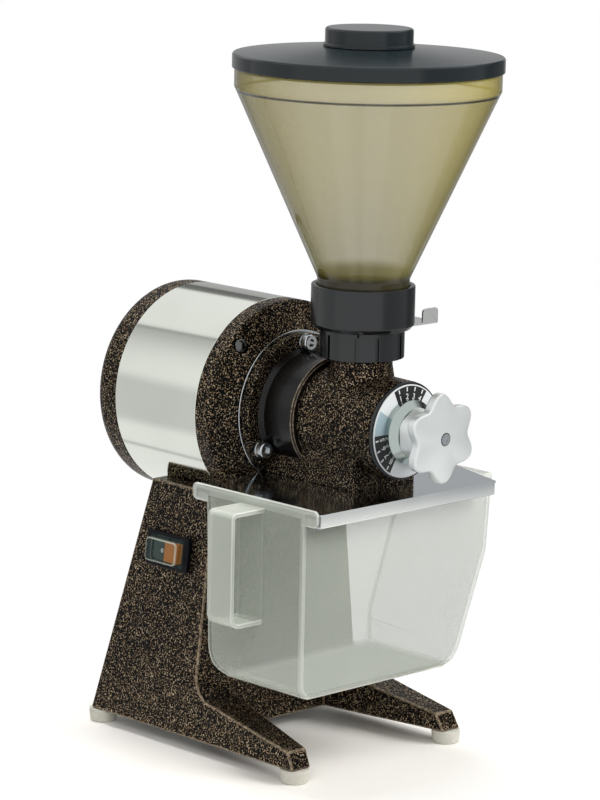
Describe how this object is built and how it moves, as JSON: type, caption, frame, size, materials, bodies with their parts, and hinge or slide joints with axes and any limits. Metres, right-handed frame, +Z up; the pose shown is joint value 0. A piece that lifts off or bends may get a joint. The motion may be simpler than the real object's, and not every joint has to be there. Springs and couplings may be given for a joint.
{
  "type": "poppy seed grinder",
  "caption": "Shop seed grinder: motor on a cast stand, grinding head with a star knob, cone hopper with a gate and lid, and a clear pouring drawer.",
  "frame": {"origin": "on the standing surface, below the middle of the bounding box", "axes": "+Z up, -Y towards the knob and the forward legs, -X towards the switch and the drawer's handle"},
  "size_m": [0.2612, 0.3268, 0.58],
  "materials": {
    "hammered_casting": "dark brown hammered paint with copper flecks",
    "polished_steel": "mirror polished",
    "plain_steel": "machined",
    "zinc_steel": "bright zinc plated",
    "cast_aluminium": "as cast, fine grained",
    "iron_laminations": "dull",
    "burr_iron": "ground",
    "copper_winding": "varnished winding",
    "black_plastic": "moulded, glossy",
    "white_plastic": "satin",
    "amber_plastic": "lit lens and black paddle",
    "clear_plastic": "clear moulded",
    "smoked_plastic": "smoked olive, see-through",
    "pale_rubber": "matt"
  },
  "bodies": {
    "machine": {"stand_casting": "hammered_casting", "floor_plate": "zinc_steel", "floor_plate_screw_1": "zinc_steel", "floor_plate_screw_2": "zinc_steel", "rubber_foot_1": "pale_rubber", "rubber_foot_2": "pale_rubber", "rubber_foot_3": "pale_rubber", "rubber_foot_4": "pale_rubber", "saddle_bolt_1": "zinc_steel", "saddle_bolt_2": "zinc_steel", "run_capacitor": "white_plastic", "cord_inlet": "black_plastic", "switch_housing": "black_plastic", "switch_hood": "clear_plastic", "motor_front_shield": "hammered_casting", "motor_sleeve": "polished_steel", "motor_rear_cap": "hammered_casting", "tie_rod_1": "zinc_steel", "tie_rod_2": "zinc_steel", "tie_rod_3": "zinc_steel", "shield_plug_1": "black_plastic", "shield_plug_2": "black_plastic", "shield_plug_3": "black_plastic", "stator_core": "iron_laminations", "winding_front": "copper_winding", "winding_rear": "copper_winding", "bearing_front": "plain_steel", "bearing_rear": "plain_steel", "grinder_body": "hammered_casting", "clamp_ring": "polished_steel", "body_bolt_1": "zinc_steel", "body_bolt_2": "zinc_steel", "body_bolt_3": "zinc_steel", "shaft_seal": "pale_rubber", "barrel_cover": "cast_aluminium", "dial_plate": "white_plastic", "drawer_plate": "polished_steel", "plate_screw_1": "zinc_steel", "plate_screw_2": "zinc_steel", "ribbed_ring": "black_plastic", "hopper_cup": "black_plastic", "hopper_cone": "smoked_plastic", "finger_guard": "black_plastic"},
    "rocker": {"switch_rocker": "amber_plastic"},
    "rotor": {"motor_shaft": "plain_steel", "rotor_core": "iron_laminations", "cooling_fan": "black_plastic", "turning_burr": "burr_iron", "feed_screw": "plain_steel"},
    "burr_carriage": {"burr_holder": "cast_aluminium", "fixed_burr": "burr_iron"},
    "setting_knob": {"adjusting_spindle": "plain_steel", "index_collar": "polished_steel", "star_knob": "cast_aluminium", "knob_screw": "zinc_steel"},
    "drawer": {"drawer": "clear_plastic"},
    "gate": {"gate_plate": "zinc_steel"},
    "lid": {"hopper_lid": "black_plastic", "lid_knob": "black_plastic", "lid_screw": "zinc_steel"}
  },
  "joints": [
    {"name": "rocker_tilt", "type": "hinge", "parent": "machine", "child": "rocker", "pos_m": [-0.06175, 0.07385, 0.1545], "axis": [0.1126, 0, 0.9936], "range_deg": [0, 14]},
    {"name": "rotor_spin", "type": "hinge", "parent": "machine", "child": "rotor", "pos_m": [0.01638, 0.08185, 0.272], "axis": [0, 1, 0], "continuous": true},
    {"name": "burr_shift", "type": "slide", "parent": "machine", "child": "burr_carriage", "axis": [0, -1, 0], "range_m": [0, 0.00126]},
    {"name": "knob_turn", "type": "hinge", "parent": "burr_carriage", "child": "setting_knob", "pos_m": [0.01638, -0.14, 0.272], "axis": [0, -1, 0], "range_deg": [0, 300]},
    {"name": "drawer_slide", "type": "slide", "parent": "machine", "child": "drawer", "axis": [-1, 0, 0], "range_m": [0, 0.17]},
    {"name": "gate_slide", "type": "slide", "parent": "machine", "child": "gate", "axis": [1, 0, 0], "range_m": [0, 0.05]},
    {"name": "lid_lift", "type": "slide", "parent": "machine", "child": "lid", "axis": [0, 0, 1], "range_m": [0, 0.12]}
  ],
  "couplings": [
    {"joint": "burr_shift", "follows": "knob_turn", "m_per_rad": 0.00023873}
  ]
}
